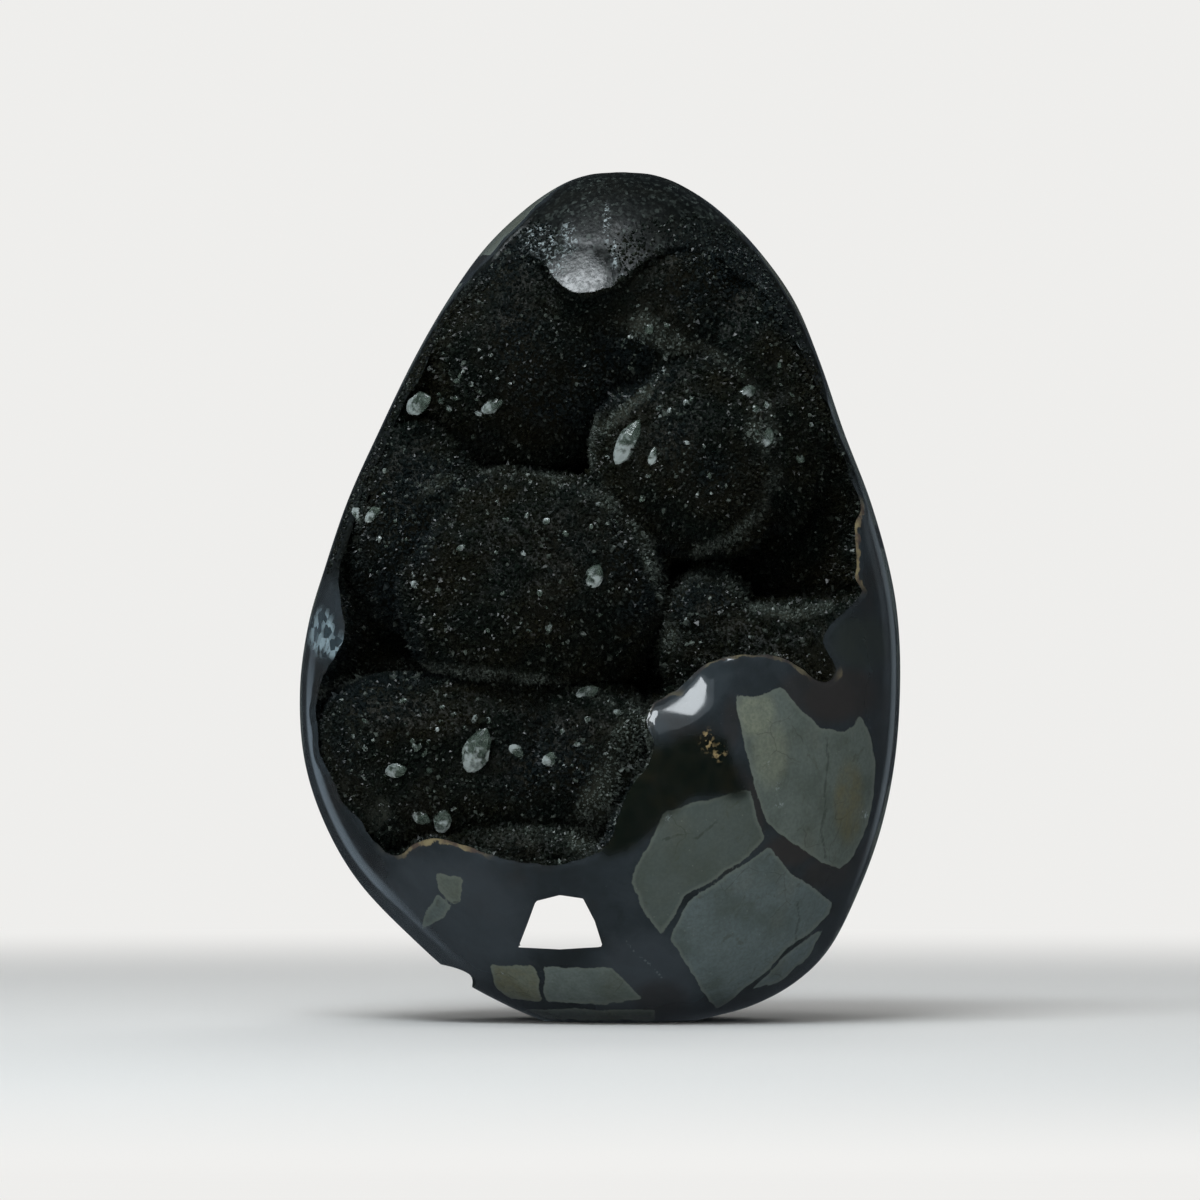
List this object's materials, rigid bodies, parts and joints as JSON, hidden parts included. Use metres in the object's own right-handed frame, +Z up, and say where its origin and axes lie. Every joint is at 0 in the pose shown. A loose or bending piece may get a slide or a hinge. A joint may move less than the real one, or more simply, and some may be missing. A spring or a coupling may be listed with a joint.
{
  "type": "septarian nodule",
  "caption": "Septarian nodule ground and polished to an upright egg, with a crystal-lined open hollow in front, a window through its base and a flat foot.",
  "frame": {"origin": "on the flat foot, in the middle of the widest level seen from the front", "axes": "+Z up along the egg, -Y towards the open hollow, +X to the right seen from there"},
  "size_m": [0.1062, 0.0884, 0.15],
  "materials": {
    "polished_stone": "polished to a gloss",
    "crystal_crust": "rough with small bright crystal faces"
  },
  "bodies": {
    "root": {"polished_nodule": "polished_stone", "crystal_crust": "crystal_crust"}
  },
  "joints": []
}
